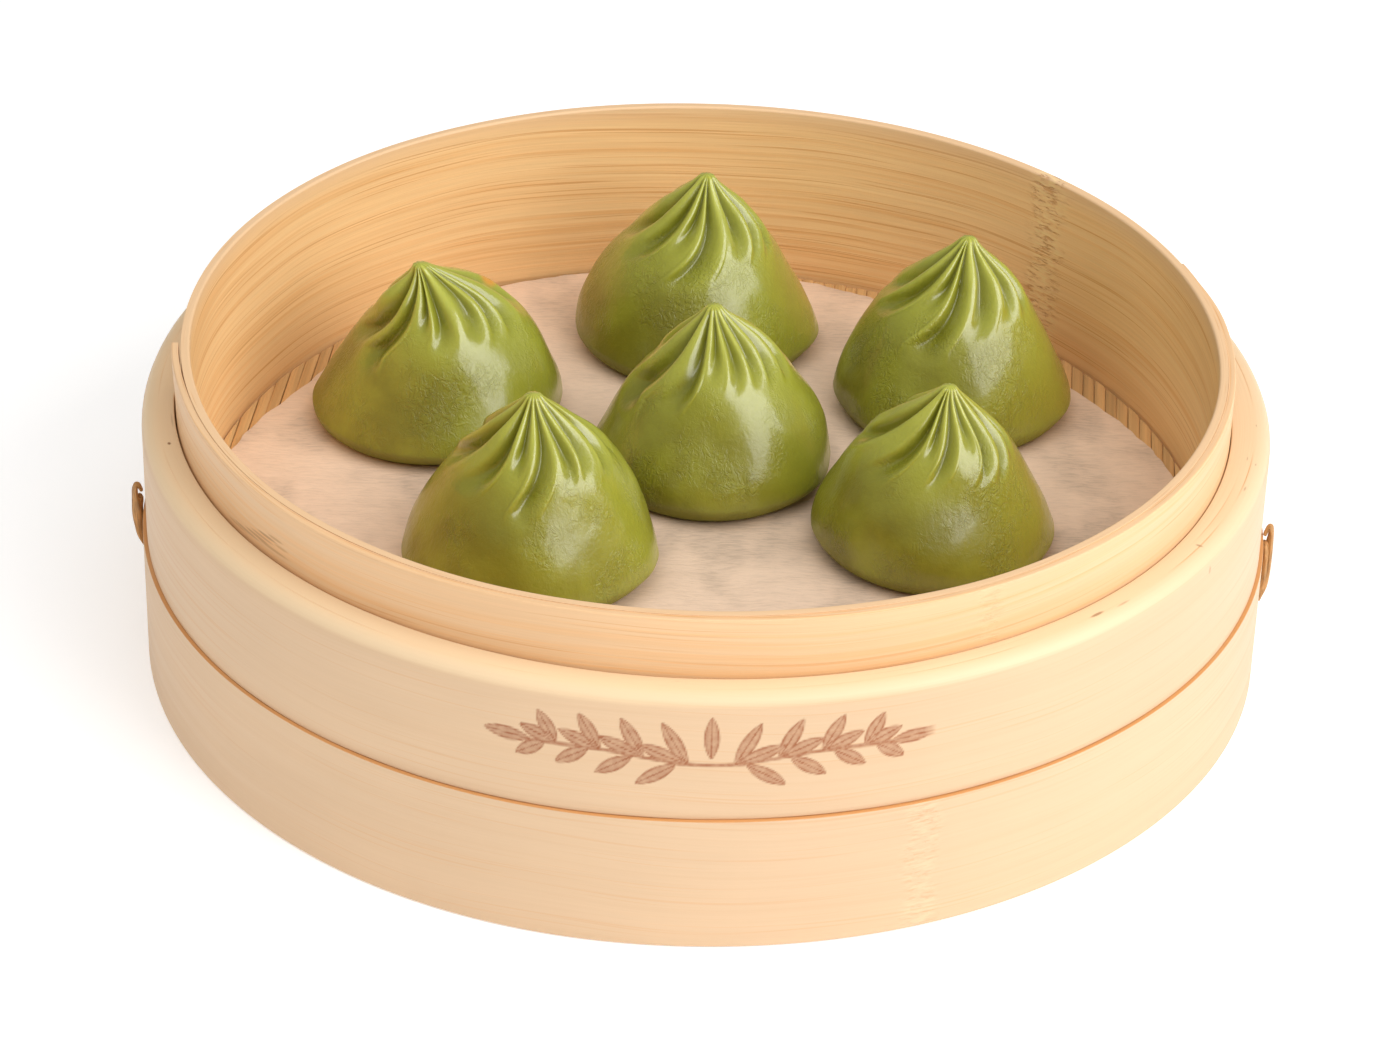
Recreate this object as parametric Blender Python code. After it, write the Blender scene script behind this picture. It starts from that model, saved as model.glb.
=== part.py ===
"""Six pleated soup dumplings on a liner in a round bamboo steamer basket.

Blender 4.5, metres, +Z up. The origin is on the basket's axis, at the level that the
basket stands on. -Y is the front.
"""

import math
from collections import namedtuple

import bmesh
import bpy

GAP = 0.0003  # kept between pieces that touch
FULL_TURN = 2 * math.pi
RING_STEPS = 60  # facets round a full hoop

# Outer hoops. Both stand on the inner hoop's outside, one on top of the other.
LOWER_RADIUS = 0.1067
UPPER_RADIUS = 0.1059
HOOP_TOP = 0.0514
SPLIT_HEIGHT = 0.0265
UPPER_HOOP_ROUND = 0.0028  # radius of its rounded top edge
HOOP_CHAMFER = 0.0005

# Inner hoop: a strip wound a little more than once and a half, so the rim is double in front.
INNER_FACE = 0.0965
INNER_PLY = 0.0016
RIM_TOP = 0.0629
STACKING_RECESS = 0.0130  # height left free below it for the rim of a basket underneath
RIM_CHAMFER = 0.0004
LAP_PLY = 0.0011
LAP_TOP = 0.0627
LAP_START = math.radians(185)  # its cut end, at the left
LAP_SWEEP = math.radians(195)  # through the front to the right
LAP_SHAVED = math.radians(14)  # length over which its last end is shaved thin
LAP_LEAST = 1 / 3  # what that leaves of its thickness
BORE_BLEND = math.radians(6)  # over this angle the upper hoop closes in past the lap

# The hoops are bent by hand and not quite round. Each is out of true by the sum of such waves.
Wave = namedtuple("Wave", "count height crest")
INNER_WAVES = (
    Wave(1, 0.00033, math.radians(97)),
    Wave(2, 0.00044, math.radians(115)),
    Wave(4, 0.00024, math.radians(47)),
)
OUTER_WAVES = (
    Wave(1, 0.00040, math.radians(-48)),
    Wave(3, 0.00045, math.radians(-10)),
)

# Floor: battens from wall to wall, slats across them, a liner on top.
FLOOR_HEADING = math.radians(-4)  # the slats run front to back, turned a little to the right
WALL_CLEARANCE = 0.0005  # left at the ends of the slats and battens
SLAT_COUNT = 42
SLAT_PITCH = 0.00455
SLAT_WIDTH = 0.0040
SLAT_THICKNESS = 0.0020
BATTEN_OFFSETS = (-0.052, 0.0, 0.052)
BATTEN_WIDTH = 0.012
BATTEN_BASE = 0.0142
LINER_BASE = 0.0250
LINER_THICKNESS = 0.0004
LINER_RADIUS = 0.0900
LINER_SQUARENESS = 0.0034  # the sheet is a circle cut rather square
LINER_SHIFT = 0.0020  # and lies this much towards the back
LINER_STEPS = 48

# Cane ties, one stitch on each side across the split between the outer hoops.
Tie = namedtuple("Tie", "name angle low high")
TIES = (
    Tie("tie_left", math.radians(184), 0.0175, 0.0320),
    Tie("tie_right", math.radians(-4), 0.0115, 0.0295),
)
TIE_HALF_WIDTH = 0.0018
TIE_HALF_DEPTH = 0.0006
TIE_END_WIDTH = 0.45  # at its ends, as a share of the middle
TIE_END_DEPTH = 0.55
TIE_END_SWELL = 0.08  # in half turns of the sine that it swells along
TIE_BULGE = 0.0007
TIE_TWIST = 0.8 * FULL_TURN
TIE_LOBE = 0.2
TIE_RINGS = 12
TIE_SIDES = 8

# Dumplings. The side is a curve through these (level, share of the radius) stations.
SIDE_STATIONS = (
    (0.00, 0.86),
    (0.05, 0.95),
    (0.12, 1.00),
    (0.35, 0.86),
    (0.62, 0.61),
    (0.80, 0.33),
    (0.92, 0.13),
    (1.00, 0.05),
)
MESH_LEVELS = (0.0, 0.05, 0.12, 0.25, 0.40, 0.52, 0.64, 0.76, 0.88, 1.0)
COLUMNS_OF_PLEAT = (0.0, 0.2, 0.5, 0.8)  # valley, flank, crest, flank
FOLD_FADES_AT = 0.26  # folds begin at this level and are full at the next one
FOLD_FULL_AT = 0.72
FOLD_DEPTH = 0.24  # of the local radius, for a valley between wide pleats
WIDE_PLEAT = math.radians(42)
FOLD_LEVEL = 0.65  # the level at which fold angles are given
DUMPLING_BASE = LINER_BASE + LINER_THICKNESS + GAP

# place, radius and height; how far the tip and the belly sit to one side; the azimuth of each
# fold in degrees at FOLD_LEVEL; and the swirl, in degrees for one whole height.
Dumpling = namedtuple("Dumpling", "place radius height tip bulge folds swirl")
DUMPLINGS = (
    Dumpling((-0.0540, 0.0330), 0.0245, 0.0350, (-0.0015, -0.0040), 0.0035,
             (20, 55, 90, 122, 157, 200, 230, 271, 298, 320, 350), 75),
    Dumpling((-0.0020, 0.0655), 0.0245, 0.0375, (0.0015, 0.0), -0.0005,
             (20, 55, 90, 125, 160, 217, 267, 311, 328, 347), 80),
    Dumpling((0.0495, 0.0410), 0.0235, 0.0375, (0.0015, 0.0005), -0.0005,
             (8, 42, 80, 115, 148, 180, 212, 251, 298, 325, 342), 80),
    Dumpling((-0.0320, -0.0230), 0.0240, 0.0375, (0.0010, -0.0020), 0.0010,
             (5, 35, 70, 105, 145, 192, 222, 273, 307, 330, 348), 70),
    Dumpling((0.0015, 0.0140), 0.0235, 0.0355, (0.0, 0.0005), 0.0010,
             (22, 55, 90, 125, 155, 188, 243, 290, 310, 328, 352), 50),
    Dumpling((0.0445, -0.0110), 0.0230, 0.0345, (0.0010, -0.0015), -0.0010,
             (22, 55, 90, 120, 148, 180, 228, 264, 305, 326, 350), 60),
)

BAMBOO_PALE = (0.86, 0.66, 0.42)
BAMBOO_INSIDE = (0.80, 0.55, 0.30)
BAMBOO_FLOOR = (0.72, 0.47, 0.23)
CANE = (0.66, 0.38, 0.16)
LINER = (0.78, 0.62, 0.48)
DOUGH = (0.28, 0.27, 0.045)


def clear_scene():
    for item in list(bpy.data.objects):
        bpy.data.objects.remove(item, do_unlink=True)


def finish(name, colour, roughness):
    """A plain material of one colour."""
    material = bpy.data.materials.new(name)
    material.use_nodes = True
    shader = material.node_tree.nodes["Principled BSDF"]
    shader.inputs["Base Color"].default_value = (*colour, 1.0)
    shader.inputs["Roughness"].default_value = roughness
    shader.inputs["Metallic"].default_value = 0.0
    material.diffuse_color = (*colour, 1.0)
    return material


def add_object(name, mesh, material, sharp_over=35):
    """The closed mesh as an object of the scene, its faces turned out and its round sides smooth."""
    bmesh.ops.recalc_face_normals(mesh, faces=mesh.faces)
    data = bpy.data.meshes.new(name)
    mesh.to_mesh(data)
    mesh.free()
    data.shade_smooth()
    data.set_sharp_from_angle(angle=math.radians(sharp_over))
    data.materials.append(material)
    piece = bpy.data.objects.new(name, data)
    bpy.context.scene.collection.objects.link(piece)
    return piece


def around(radius, angle, height):
    return (radius * math.cos(angle), radius * math.sin(angle), height)


def blend(value, low, high):
    """0 at low, 1 at high, with a soft start and end."""
    share = min(max((value - low) / (high - low), 0.0), 1.0)
    return share * share * (3 - 2 * share)


def join_rings(mesh, rings, closed):
    """Walls between neighbouring rings of corners; closed also joins the last to the first."""
    following = rings[1:] + rings[:1] if closed else rings[1:]
    for near, far in zip(rings, following):
        for i in range(len(near)):
            j = (i + 1) % len(near)
            mesh.faces.new((near[i], near[j], far[j], far[i]))


def bent_strip(name, outline_at, start, sweep, material):
    """A strip bent round the axis. outline_at(angle) gives its section as (radius, height)."""
    closed = sweep >= FULL_TURN
    steps = round(RING_STEPS * sweep / FULL_TURN)
    mesh = bmesh.new()
    rings = []
    for step in range(steps if closed else steps + 1):
        angle = start + sweep * step / steps
        rings.append([mesh.verts.new(around(r, angle, z)) for r, z in outline_at(angle)])
    join_rings(mesh, rings, closed)
    if not closed:
        mesh.faces.new(rings[0])
        mesh.faces.new(rings[-1])
    return add_object(name, mesh, material)


def out_of_round(waves, angle):
    """How far a hoop stands out from a true circle at this angle."""
    return sum(wave.height * math.cos(wave.count * (angle - wave.crest)) for wave in waves)


def wall_radius(angle):
    return INNER_FACE + out_of_round(INNER_WAVES, angle)


def turn_past_lap_start(angle):
    return (angle - LAP_START) % FULL_TURN


def bore_past_lap(angle):
    """The radius that clears the whole lap."""
    return wall_radius(angle) + INNER_PLY + GAP + LAP_PLY + GAP


def upper_bore(angle):
    """The upper hoop's inner radius: wide where it holds the lap, close to the inner hoop elsewhere."""
    wide = bore_past_lap(angle)
    past = turn_past_lap_start(angle)
    if past <= LAP_SWEEP:
        return wide
    beyond = min(past - LAP_SWEEP, FULL_TURN - past)
    return wide - (LAP_PLY + GAP) * blend(beyond, 0.0, BORE_BLEND)


def inner_hoop_outline(angle):
    inner = wall_radius(angle)
    outer = inner + INNER_PLY
    return (
        (inner, STACKING_RECESS),
        (outer, STACKING_RECESS),
        (outer, RIM_TOP - RIM_CHAMFER),
        (outer - RIM_CHAMFER, RIM_TOP),
        (inner + RIM_CHAMFER, RIM_TOP),
        (inner, RIM_TOP - RIM_CHAMFER),
    )


def lap_outline(angle):
    """The second ply, shaved thin at its last end."""
    left = LAP_SWEEP - turn_past_lap_start(angle)
    inner = wall_radius(angle) + INNER_PLY + GAP
    outer = inner + LAP_PLY * (LAP_LEAST + (1 - LAP_LEAST) * blend(left, 0.0, LAP_SHAVED))
    chamfer = (outer - inner) / 3
    return (
        (inner, STACKING_RECESS),
        (outer, STACKING_RECESS),
        (outer, LAP_TOP - chamfer),
        (outer - chamfer, LAP_TOP),
        (inner + chamfer, LAP_TOP),
        (inner, LAP_TOP - chamfer),
    )


def upper_hoop_outline(angle):
    """A thick band whose outer top edge is rounded over."""
    bore = upper_bore(angle)
    outer = UPPER_RADIUS + out_of_round(OUTER_WAVES, angle)
    rounded = [
        (
            outer - UPPER_HOOP_ROUND * (1 - math.cos(turn)),
            HOOP_TOP - UPPER_HOOP_ROUND * (1 - math.sin(turn)),
        )
        for turn in (0.0, math.pi / 4, math.pi / 2)
    ]
    base = SPLIT_HEIGHT + GAP
    return (
        (bore, base),
        (outer, base),
        *rounded,
        (bore + 2 * HOOP_CHAMFER, HOOP_TOP),
        (bore, HOOP_TOP - HOOP_CHAMFER),
    )


def lower_hoop_outline(angle):
    bore = bore_past_lap(angle)
    outer = lower_radius(angle)
    return (
        (bore, 0.0),
        (outer - HOOP_CHAMFER, 0.0),
        (outer, HOOP_CHAMFER),
        (outer, SPLIT_HEIGHT - HOOP_CHAMFER),
        (outer - HOOP_CHAMFER, SPLIT_HEIGHT),
        (bore, SPLIT_HEIGHT),
    )


def lower_radius(angle):
    return LOWER_RADIUS + out_of_round(OUTER_WAVES, angle)


def slab(name, plan, bottom, top, material):
    """A flat piece: its plan, a list of (x, y), raised from bottom to top."""
    mesh = bmesh.new()
    rings = [[mesh.verts.new((x, y, z)) for x, y in plan] for z in (bottom, top)]
    join_rings(mesh, rings, closed=False)
    for ring in rings:
        mesh.faces.new(ring)
    return add_object(name, mesh, material)


def along_to_wall(across, end, heading):
    """How far along its board a corner lies, just short of the wall it points at."""
    reach = INNER_FACE
    for _ in range(2):
        along = end * math.sqrt(reach**2 - across**2)
        reach = wall_radius(heading + math.atan2(along, across)) - WALL_CLEARANCE
    return end * math.sqrt(reach**2 - across**2)


def board(name, offset, width, heading, bottom, top, material):
    """A straight board across the round floor, its ends cut to the inner hoop."""
    plan = []
    for side, end in ((-0.5, -1), (0.5, -1), (0.5, 1), (-0.5, 1)):
        across = offset + side * width
        along = along_to_wall(across, end, heading)
        x = across * math.cos(heading) - along * math.sin(heading)
        y = across * math.sin(heading) + along * math.cos(heading)
        plan.append((x, y))
    return slab(name, plan, bottom, top, material)


def build_hoops():
    outside = finish("bamboo outside", BAMBOO_PALE, 0.45)
    inside = finish("bamboo inside", BAMBOO_INSIDE, 0.5)
    bent_strip("inner_hoop", inner_hoop_outline, 0.0, FULL_TURN, inside)
    bent_strip("inner_hoop_lap", lap_outline, LAP_START, LAP_SWEEP, outside)
    bent_strip("upper_hoop", upper_hoop_outline, 0.0, FULL_TURN, outside)
    bent_strip("lower_hoop", lower_hoop_outline, 0.0, FULL_TURN, outside)


def build_floor():
    bamboo = finish("bamboo floor", BAMBOO_FLOOR, 0.6)
    slat_top = LINER_BASE - GAP
    slat_base = slat_top - SLAT_THICKNESS
    for number in range(SLAT_COUNT):
        offset = (number - (SLAT_COUNT - 1) / 2) * SLAT_PITCH
        board(f"slat_{number + 1:02d}", offset, SLAT_WIDTH, FLOOR_HEADING, slat_base, slat_top, bamboo)
    across = FLOOR_HEADING + math.pi / 2
    for number, offset in enumerate(BATTEN_OFFSETS):
        board(f"batten_{number + 1}", offset, BATTEN_WIDTH, across, BATTEN_BASE, slat_base - GAP, bamboo)


def liner_edge(angle):
    """The liner's radius: rather square, with its corners front, back, left and right."""
    return LINER_RADIUS + LINER_SQUARENESS * math.cos(4 * angle) + LINER_SHIFT * math.sin(angle)


def build_liner():
    paper = finish("liner paper", LINER, 0.8)
    plan = []
    for step in range(LINER_STEPS):
        angle = FULL_TURN * step / LINER_STEPS
        x, y, _ = around(liner_edge(angle), angle, 0.0)
        plan.append((x, y))
    slab("liner", plan, LINER_BASE, LINER_BASE + LINER_THICKNESS, paper)


def build_ties():
    """Each tie is a flat twisted strand that leaves the hoop, stands off a little and goes back in."""
    cane = finish("cane", CANE, 0.55)
    for tie in TIES:
        mesh = bmesh.new()
        rings = []
        for step in range(TIE_RINGS):
            share = step / (TIE_RINGS - 1)
            swell = math.sin(math.pi * (TIE_END_SWELL + (1 - 2 * TIE_END_SWELL) * share))
            depth = TIE_HALF_DEPTH * (TIE_END_DEPTH + (1 - TIE_END_DEPTH) * swell)
            width = TIE_HALF_WIDTH * (TIE_END_WIDTH + (1 - TIE_END_WIDTH) * swell)
            stand = lower_radius(tie.angle) + GAP + depth * (1 + TIE_LOBE) + TIE_BULGE * swell
            height = tie.low + (tie.high - tie.low) * share
            ring = []
            for side in range(TIE_SIDES):
                turn = FULL_TURN * side / TIE_SIDES
                lobe = 1 + TIE_LOBE * math.cos(2 * turn - TIE_TWIST * share)
                out = stand + depth * lobe * math.cos(turn)
                along = width * lobe * math.sin(turn)
                x = out * math.cos(tie.angle) - along * math.sin(tie.angle)
                y = out * math.sin(tie.angle) + along * math.cos(tie.angle)
                ring.append(mesh.verts.new((x, y, height)))
            rings.append(ring)
        join_rings(mesh, rings, closed=False)
        mesh.faces.new(rings[0])
        mesh.faces.new(rings[-1])
        add_object(tie.name, mesh, cane, sharp_over=70)


def side_share(level):
    """The share of the radius at a level: a smooth curve through SIDE_STATIONS."""
    count = len(SIDE_STATIONS)
    i = max(k for k in range(count - 1) if SIDE_STATIONS[k][0] <= level)
    (z0, r0), (z1, r1) = SIDE_STATIONS[i], SIDE_STATIONS[i + 1]

    def slope(k):
        low, high = SIDE_STATIONS[max(k - 1, 0)], SIDE_STATIONS[min(k + 1, count - 1)]
        return (high[1] - low[1]) / (high[0] - low[0])

    s = (level - z0) / (z1 - z0)
    span = z1 - z0
    return (
        r0 * (1 + 2 * s) * (1 - s) ** 2
        + r1 * s * s * (3 - 2 * s)
        + slope(i) * span * s * (1 - s) ** 2
        - slope(i + 1) * span * s * s * (1 - s)
    )


def pleats_of(dumpling):
    """(start, width, depth of the valley at its start) of each pleat, in radians."""
    starts = sorted(math.radians(fold) for fold in dumpling.folds)
    widths = [(b - a) % FULL_TURN for a, b in zip(starts, starts[1:] + starts[:1])]
    return [
        (start, width, FOLD_DEPTH * min(1.0, (width + before) / 2 / WIDE_PLEAT))
        for start, width, before in zip(starts, widths, widths[-1:] + widths[:-1])
    ]


def valley(share, depth_here, depth_next):
    """How deep a point of a pleat lies: full at both its valleys, none on its broad crest."""
    depth = depth_here if share < 0.5 else depth_next
    return depth * abs(2 * share - 1) ** 3


def dumpling_mesh(dumpling):
    """A belly that bulges low and tucks under, drawn up in swirled pleats to a blunt tip."""
    mesh = bmesh.new()
    pleats = pleats_of(dumpling)
    rings = []
    for level in MESH_LEVELS:
        folded = blend(level, FOLD_FADES_AT, FOLD_FULL_AT)
        turn = math.radians(dumpling.swirl) * max(level - FOLD_FADES_AT, 0.0)
        turn -= math.radians(dumpling.swirl) * (FOLD_LEVEL - FOLD_FADES_AT)
        middle = (
            dumpling.place[0] + dumpling.tip[0] * level**3 + 4 * dumpling.bulge * level * (1 - level),
            dumpling.place[1] + dumpling.tip[1] * level**3,
        )
        ring = []
        for (start, width, depth), (_, _, following) in zip(pleats, pleats[1:] + pleats[:1]):
            for share in COLUMNS_OF_PLEAT:
                radius = dumpling.radius * side_share(level)
                radius *= 1 - folded * valley(share, depth, following)
                x, y, _ = around(radius, start + share * width + turn, 0.0)
                height = DUMPLING_BASE + level * dumpling.height
                ring.append(mesh.verts.new((middle[0] + x, middle[1] + y, height)))
        rings.append(ring)
    join_rings(mesh, rings, closed=False)
    mesh.faces.new(rings[0])
    mesh.faces.new(rings[-1])
    return mesh


def build_dumplings():
    dough = finish("green dough", DOUGH, 0.25)
    for number, dumpling in enumerate(DUMPLINGS):
        add_object(f"dumpling_{number + 1}", dumpling_mesh(dumpling), dough, sharp_over=80)


clear_scene()
build_hoops()
build_floor()
build_liner()
build_ties()
build_dumplings()
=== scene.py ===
"""The look of a bamboo steamer basket holding six green soup dumplings, built round its solids.

Blender 4.5, metres, +Z up, the front towards -Y. Each operator makes one piece or one group of
like pieces, and main() runs them in order.
"""

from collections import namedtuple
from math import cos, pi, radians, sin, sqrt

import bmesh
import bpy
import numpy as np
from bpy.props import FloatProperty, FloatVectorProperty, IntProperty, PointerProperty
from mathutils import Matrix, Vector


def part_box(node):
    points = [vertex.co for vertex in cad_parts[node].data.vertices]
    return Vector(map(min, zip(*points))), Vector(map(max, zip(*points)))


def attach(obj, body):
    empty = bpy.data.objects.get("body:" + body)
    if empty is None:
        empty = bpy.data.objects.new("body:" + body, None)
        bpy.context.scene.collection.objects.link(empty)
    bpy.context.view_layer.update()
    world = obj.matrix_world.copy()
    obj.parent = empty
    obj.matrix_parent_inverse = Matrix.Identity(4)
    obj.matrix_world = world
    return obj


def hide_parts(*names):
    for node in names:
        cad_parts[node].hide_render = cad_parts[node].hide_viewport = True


bl_info = {
    "name": "Steamer Basket with Soup Dumplings",
    "version": (1, 0, 0),
    "blender": (4, 5, 0),
    "location": "3D View > Sidebar > Steamer",
    "description": "Makes the bent bamboo, the liner, the cane ties and the pleated dough",
    "category": "Object",
}

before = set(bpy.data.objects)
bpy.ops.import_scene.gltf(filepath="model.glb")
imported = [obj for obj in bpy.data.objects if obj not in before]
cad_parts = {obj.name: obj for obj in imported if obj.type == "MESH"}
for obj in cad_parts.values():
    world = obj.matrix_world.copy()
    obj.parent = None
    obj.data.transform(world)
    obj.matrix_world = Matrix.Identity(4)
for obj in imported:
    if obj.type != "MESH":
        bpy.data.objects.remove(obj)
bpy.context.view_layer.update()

FULL_TURN = 2 * pi
FRONT = radians(270)

# Hoops. Levels come from the solids.
SPLIT_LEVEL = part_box("lower_hoop")[1].z
HOOP_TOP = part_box("upper_hoop")[1].z
RIM_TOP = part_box("inner_hoop")[1].z
STRIP_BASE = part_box("inner_hoop")[0].z
LAP_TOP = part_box("inner_hoop_lap")[1].z
LOWER_RADIUS = 0.1067
UPPER_RADIUS = 0.1059
UPPER_ROUND = 0.0028
FRONT_COLUMNS = 290  # finer steps across the front, where the sprig is burnt in
INNER_FACE = 0.0965
INNER_PLY = 0.0017
LAP_PLY = 0.0013
LAP_START = radians(185)
LAP_SWEEP = radians(195)
LAP_SHAVED = radians(14)
LAP_SPRUNG = 0.0004  # how far its cut end stands off at the top
CRACK = 0.00012  # left open beside the lap at the left
BORE_BLEND = radians(6)
HAIRLINE = 0.0001  # what shows of the joint between two plies
CORNER_STEPS = 7  # points along each rounded corner of a hoop

# The hoops aren't quite round. Each is out of true by the sum of such waves.
Wave = namedtuple("Wave", "count height crest")
INNER_WAVES = (
    Wave(1, 0.00033, radians(97)),
    Wave(2, 0.00044, radians(115)),
    Wave(4, 0.00024, radians(47)),
)
OUTER_WAVES = (
    Wave(1, 0.00040, radians(-48)),
    Wave(3, 0.00045, radians(-10)),
)

# Floor.
FLOOR_HEADING = radians(-4)
WALL_CLEARANCE = 0.0004
SPLINT_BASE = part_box("slat_21")[0].z
SPLINT_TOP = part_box("slat_21")[1].z
SPLINT_COUNT = 84
SPLINT_PITCH = 0.002275
SPLINT_ROWS = 14
LINER_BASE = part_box("liner")[0].z
LINER_RADIUS = 0.0900
LINER_SQUARENESS = 0.0034
LINER_SHIFT = 0.0020
LINER_CORNER = radians(118)  # where it reaches furthest over the splints
LINER_CORNER_REACH = 0.0052
LINER_THICKNESS = 0.0002
LINER_COLUMNS = 480

# Dumplings: place, radius, and the sideways lean of the tip and of the belly. Each fold is
# (azimuth, swirl for one whole height, level where it fades out), with its angles in degrees.
Dumpling = namedtuple("Dumpling", "place radius tip bulge folds")
DUMPLINGS = (
    Dumpling((-0.0540, 0.0330), 0.0245, (-0.0015, -0.0040), 0.0035, (
        (20, 75, 0.60), (42, 75, 0.62), (78, 75, 0.58), (122, 75, 0.58), (160, 75, 0.55),
        (204, 76, 0.46), (230, 52, 0.42), (251, 38, 0.66), (270, 16, 0.60), (306, 52, 0.62),
        (322, 90, 0.60), (345, 90, 0.58),
    )),
    Dumpling((-0.0020, 0.0655), 0.0245, (0.0015, 0.0000), -0.0005, (
        (20, 80, 0.58), (55, 80, 0.60), (90, 80, 0.55), (130, 80, 0.58), (176, 90, 0.55),
        (217, 110, 0.56), (245, 85, 0.66), (269, 64, 0.50), (313, 50, 0.62), (328, 90, 0.60),
        (347, 100, 0.58),
    )),
    Dumpling((0.0495, 0.0410), 0.0235, (0.0015, 0.0005), -0.0005, (
        (8, 80, 0.60), (42, 80, 0.58), (80, 80, 0.55), (120, 80, 0.58), (163, 110, 0.58),
        (197, 120, 0.55), (229, 85, 0.66), (255, 49, 0.46), (293, 50, 0.58), (320, 80, 0.62),
        (340, 80, 0.60),
    )),
    Dumpling((-0.0320, -0.0230), 0.0240, (0.0010, -0.0020), 0.0010, (
        (12, 70, 0.60), (45, 70, 0.58), (80, 70, 0.55), (112, 70, 0.58), (145, 80, 0.56),
        (182, 95, 0.52), (227, 46, 0.54), (252, 40, 0.66), (274, 32, 0.48), (300, 30, 0.62),
        (314, 80, 0.64), (345, 90, 0.60),
    )),
    Dumpling((0.0015, 0.0140), 0.0235, (0.0000, 0.0005), 0.0010, (
        (22, 60, 0.60), (52, 50, 0.58), (88, 50, 0.55), (125, 50, 0.58), (160, 35, 0.58),
        (200, 35, 0.40), (242, 26, 0.52), (265, 25, 0.69), (286, 24, 0.64), (306, 70, 0.64),
        (327, 100, 0.62), (350, 100, 0.60),
    )),
    Dumpling((0.0445, -0.0110), 0.0230, (0.0010, -0.0015), -0.0010, (
        (22, 70, 0.60), (55, 60, 0.58), (90, 60, 0.55), (128, 80, 0.58), (176, 110, 0.52),
        (231, 67, 0.52), (253, 45, 0.67), (272, 28, 0.56), (292, 45, 0.70), (310, 64, 0.56),
        (334, 79, 0.54), (354, 90, 0.58),
    )),
)
# (level, share of the radius) up the side of a dumpling.
SIDE_STATIONS = (
    (0.00, 0.86), (0.05, 0.95), (0.12, 1.00), (0.35, 0.86),
    (0.62, 0.615), (0.80, 0.365), (0.88, 0.23), (0.94, 0.13), (0.98, 0.075), (1.00, 0.055),
)
WIDE_PLEAT = radians(42)
VALLEY_REACH = radians(18)  # from the bottom of a fold to the shoulder of a wide pleat
FOLD_LEVEL = 0.65  # the level at which fold azimuths are given
SWIRL_FROM = 0.48
ROPE_REACH = 0.0014  # the rounded rope that stands along the crest of each pleat
ROPE_HEIGHT = 0.00036
SOLIDS_GAP = 0.0003  # between the solids of a dumpling and of the liner, closed by the dough
FILLING_AND_SHADE_SIDE = radians(215)  # the left side, away from the key light, where the olive is laid: partly painted shade, partly the filling showing through

# Folds that stand out at the sides: the dumpling's number, azimuth in degrees, level and height.
Lobe = namedtuple("Lobe", "number azimuth level height")
LOBES = (Lobe(1, 57, 0.76, 0.0020), Lobe(1, 195, 0.80, 0.0016))
LOBE_WIDTH = radians(32)
LOBE_SPAN = 0.16

# Orange spots on the dough: the dumpling's number, azimuth in degrees, level and reach.
OrangeSpot = namedtuple("OrangeSpot", "number azimuth level reach")
ORANGE_SPOTS = (OrangeSpot(1, 42, 0.76, 0.0028),)

# Ties. Each strand is (sideways reach, stations), and each of its stations, over the top and
# down, is (stand-off, share of the tie's rise, share of the strand's thickness).
Tie = namedtuple("Tie", "node angle")
TIES = (Tie("tie_left", radians(184)), Tie("tie_right", radians(-4)))
STRAND_RADIUS = 0.0008
STRAND_ROWS = 60
STRANDS = (
    (0.0003, (
        (0.0, 0.84, 0.4), (0.0006, 0.935, 0.55), (0.0010, 0.94, 0.60), (0.0013, 0.86, 0.70),
        (0.0011, 0.68, 1.0), (0.0010, 0.44, 1.15), (0.0007, 0.20, 0.85), (0.0001, 0.025, 0.35),
    )),
    (-0.0005, (
        (0.0, 0.76, 0.4), (0.0004, 0.74, 0.8), (0.0006, 0.60, 0.9), (0.0004, 0.40, 0.9),
        (0.0004, 0.24, 0.8), (0.0001, 0.08, 0.4),
    )),
)

# Small knots and scratches: angle in degrees, radius, height, half length, half width, darkness.
Speck = namedtuple("Speck", "angle radius height length width depth")
LAP_SPECKS = tuple(
    Speck(angle, 0.0992, height, 1.5 * length, 0.00030, 0.9 * depth)
    for angle, height, length, depth in (
        (221.5, 0.0556, 0.0016, 0.40), (220.0, 0.0549, 0.0022, 0.50), (219.0, 0.0541, 0.0028, 0.40),
        (218.0, 0.0534, 0.0030, 0.45), (221.0, 0.0531, 0.0036, 0.35), (216.0, 0.0527, 0.0040, 0.40),
        (222.5, 0.0545, 0.0014, 0.30), (214.0, 0.0522, 0.0030, 0.30),
    )
)
TOP_SPECKS = tuple(
    Speck(angle, radius, HOOP_TOP, length, width, depth)
    for angle, radius, length, width, depth in (
        (267.1, 0.1044, 0.0007, 0.0003, 0.75), (268.2, 0.1006, 0.0009, 0.0003, 0.30),
        (271.4, 0.1024, 0.0006, 0.0002, 0.35), (190.0, 0.0998, 0.0040, 0.0003, 0.60),
        (195.0, 0.1012, 0.0006, 0.0004, 0.95), (192.0, 0.1010, 0.0030, 0.0002, 0.50),
        (355.1, 0.1038, 0.0008, 0.0002, 0.70), (347.2, 0.1046, 0.0008, 0.0003, 0.80),
        (348.1, 0.1028, 0.0012, 0.0002, 0.55), (342.1, 0.1042, 0.0013, 0.0003, 0.65),
        (329.6, 0.1033, 0.0004, 0.0008, 0.50), (312.3, 0.1030, 0.0018, 0.0004, 0.65),
        (315.7, 0.1036, 0.0020, 0.0003, 0.35),
    )
)
SIDE_SPECKS = (
    Speck(348.4, 0.1058, HOOP_TOP - 0.0018, 0.0010, 0.0004, 0.90),
    Speck(328.7, 0.1062, 0.0480, 0.0005, 0.0009, 0.35),
)

# Stage.
GROUND_DROP = 0.0002  # how far its floor lies under the basket
GROUND_HALF = 3.0
AIM_HEIGHT = 0.0208  # of the point that the camera looks at


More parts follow.
